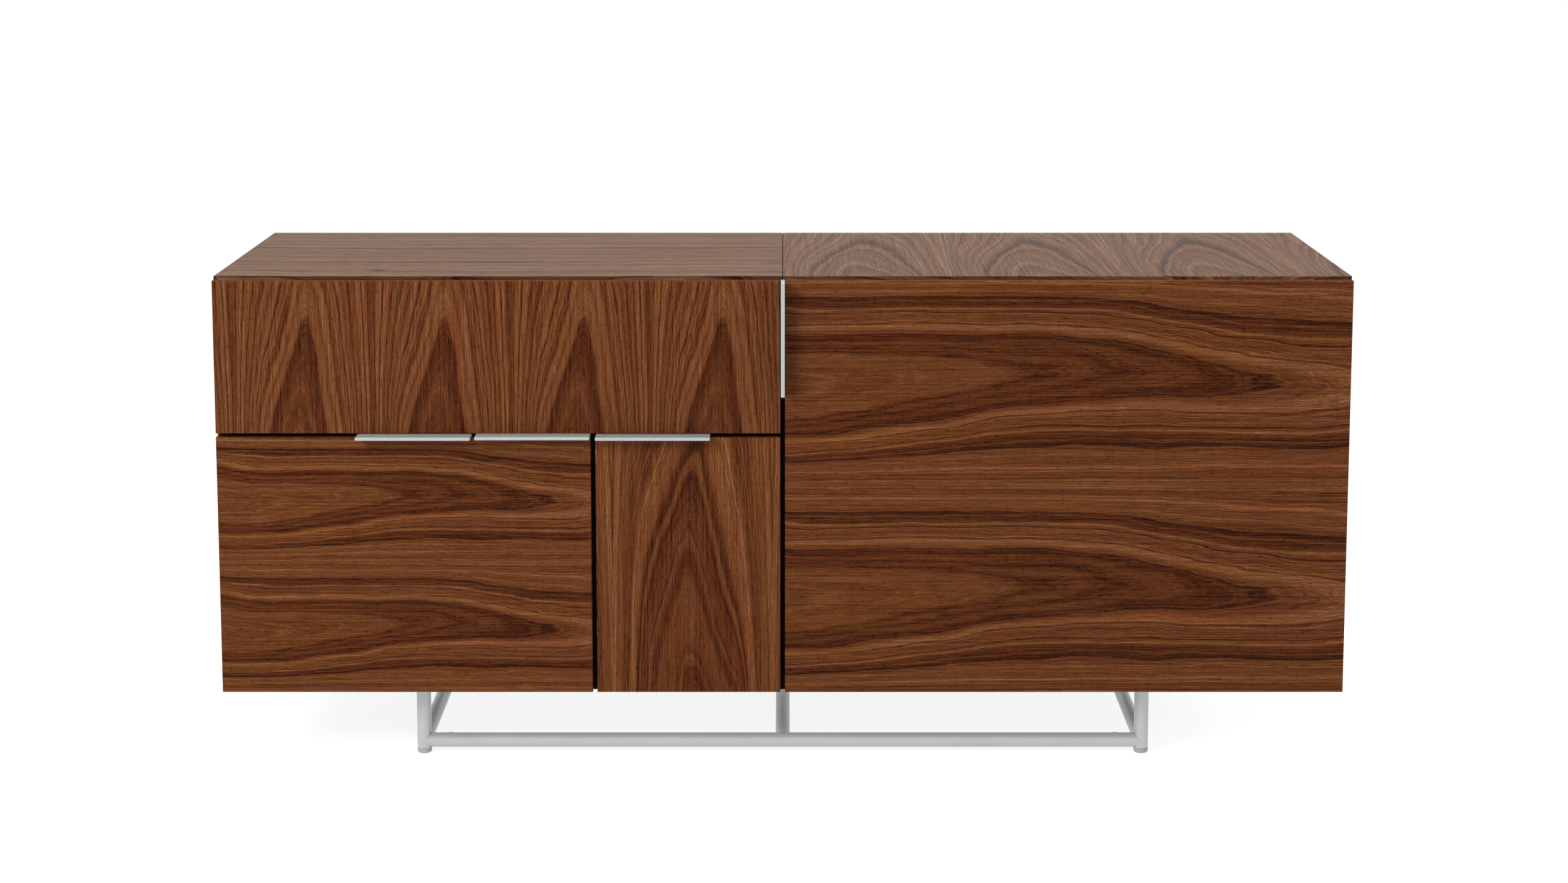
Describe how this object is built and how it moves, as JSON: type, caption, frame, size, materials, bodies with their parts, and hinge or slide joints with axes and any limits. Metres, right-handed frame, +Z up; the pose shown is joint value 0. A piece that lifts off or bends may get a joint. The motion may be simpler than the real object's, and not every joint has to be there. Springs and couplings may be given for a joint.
{
  "type": "office credenza",
  "caption": "Low walnut-veneered office credenza with drawers, doors and flat bar pulls, raised on a base of round metal tube.",
  "frame": {"origin": "on the floor, under the middle of the whole object's box", "axes": "+X along the width, towards the large door; +Y towards the back, so that the fronts face -Y; +Z up"},
  "size_m": [1.7, 0.588, 0.75],
  "materials": {
    "walnut_veneer": "flat-sawn walnut veneer, satin lacquer",
    "dark_board": "dark stained board, matt",
    "drawer_board": "pale plywood, satin",
    "aluminium_bar": "satin anodised",
    "silver_tube": "satin silver paint",
    "zinc_steel": "zinc plated",
    "grey_plastic": "moulded, matt"
  },
  "bodies": {
    "carcass": {"top_panel_left": "walnut_veneer", "top_panel_right": "walnut_veneer", "side_panel_left": "walnut_veneer", "side_panel_right": "walnut_veneer", "bottom_panel": "walnut_veneer", "back_panel": "walnut_veneer", "centre_partition": "dark_board", "left_partition": "dark_board", "drawer_divider": "dark_board", "right_shelf": "dark_board", "base_front_rail": "silver_tube", "base_rear_rail": "silver_tube", "base_left_rail": "silver_tube", "base_right_rail": "silver_tube", "base_centre_rail": "silver_tube", "leg_front_left": "silver_tube", "leg_front_right": "silver_tube", "leg_rear_left": "silver_tube", "leg_rear_right": "silver_tube", "top_runner_cabinet_left": "zinc_steel", "top_runner_cabinet_right": "zinc_steel", "file_runner_cabinet_left": "zinc_steel", "file_runner_cabinet_right": "zinc_steel", "centre_hinge_arm_lower": "zinc_steel", "centre_hinge_arm_upper": "zinc_steel", "right_hinge_arm_lower": "zinc_steel", "right_hinge_arm_upper": "zinc_steel"},
    "top_drawer": {"top_drawer_front": "walnut_veneer", "top_drawer_pull": "aluminium_bar", "top_drawer_side_left": "drawer_board", "top_drawer_side_right": "drawer_board", "top_drawer_back": "drawer_board", "top_drawer_bottom": "drawer_board", "top_runner_drawer_left": "zinc_steel", "top_runner_drawer_right": "zinc_steel"},
    "top_runner_middles": {"top_runner_middle_left": "zinc_steel", "top_runner_middle_right": "zinc_steel"},
    "file_drawer": {"file_drawer_front": "walnut_veneer", "file_drawer_pull": "aluminium_bar", "file_drawer_side_left": "drawer_board", "file_drawer_side_right": "drawer_board", "file_drawer_back": "drawer_board", "file_drawer_bottom": "drawer_board", "file_runner_drawer_left": "zinc_steel", "file_runner_drawer_right": "zinc_steel"},
    "file_runner_middles": {"file_runner_middle_left": "zinc_steel", "file_runner_middle_right": "zinc_steel"},
    "centre_door": {"centre_door_front": "walnut_veneer", "centre_door_pull": "aluminium_bar", "centre_hinge_cup_lower": "zinc_steel", "centre_hinge_cup_upper": "zinc_steel"},
    "right_door": {"right_door_front": "walnut_veneer", "right_door_pull": "aluminium_bar", "right_hinge_cup_lower": "zinc_steel", "right_hinge_cup_upper": "zinc_steel"},
    "glide_front_left": {"glide_front_left": "grey_plastic"},
    "glide_front_right": {"glide_front_right": "grey_plastic"},
    "glide_rear_left": {"glide_rear_left": "grey_plastic"},
    "glide_rear_right": {"glide_rear_right": "grey_plastic"}
  },
  "joints": [
    {"name": "top_drawer_slide", "type": "slide", "parent": "carcass", "child": "top_drawer", "axis": [0, -1, 0], "range_m": [0, 0.45]},
    {"name": "top_runner_slide", "type": "slide", "parent": "carcass", "child": "top_runner_middles", "axis": [0, -1, 0], "range_m": [0, 0.225]},
    {"name": "file_drawer_slide", "type": "slide", "parent": "carcass", "child": "file_drawer", "axis": [0, -1, 0], "range_m": [0, 0.45]},
    {"name": "file_runner_slide", "type": "slide", "parent": "carcass", "child": "file_runner_middles", "axis": [0, -1, 0], "range_m": [0, 0.225]},
    {"name": "centre_door_hinge", "type": "hinge", "parent": "carcass", "child": "centre_door", "pos_m": [-0.0035, -0.266, 0.312], "axis": [0, 0, 1], "range_deg": [0, 105]},
    {"name": "right_door_hinge", "type": "hinge", "parent": "carcass", "child": "right_door", "pos_m": [0.85, -0.266, 0.43], "axis": [0, 0, 1], "range_deg": [0, 105]},
    {"name": "glide_front_left_turn", "type": "hinge", "parent": "carcass", "child": "glide_front_left", "pos_m": [-0.554, -0.191, 0.004], "axis": [0, 0, 1], "continuous": true},
    {"name": "glide_front_right_turn", "type": "hinge", "parent": "carcass", "child": "glide_front_right", "pos_m": [0.554, -0.191, 0.004], "axis": [0, 0, 1], "continuous": true},
    {"name": "glide_rear_left_turn", "type": "hinge", "parent": "carcass", "child": "glide_rear_left", "pos_m": [-0.554, 0.236, 0.004], "axis": [0, 0, 1], "continuous": true},
    {"name": "glide_rear_right_turn", "type": "hinge", "parent": "carcass", "child": "glide_rear_right", "pos_m": [0.554, 0.236, 0.004], "axis": [0, 0, 1], "continuous": true}
  ],
  "couplings": [
    {"joint": "top_runner_slide", "follows": "top_drawer_slide", "ratio": 0.5},
    {"joint": "file_runner_slide", "follows": "file_drawer_slide", "ratio": 0.5}
  ]
}
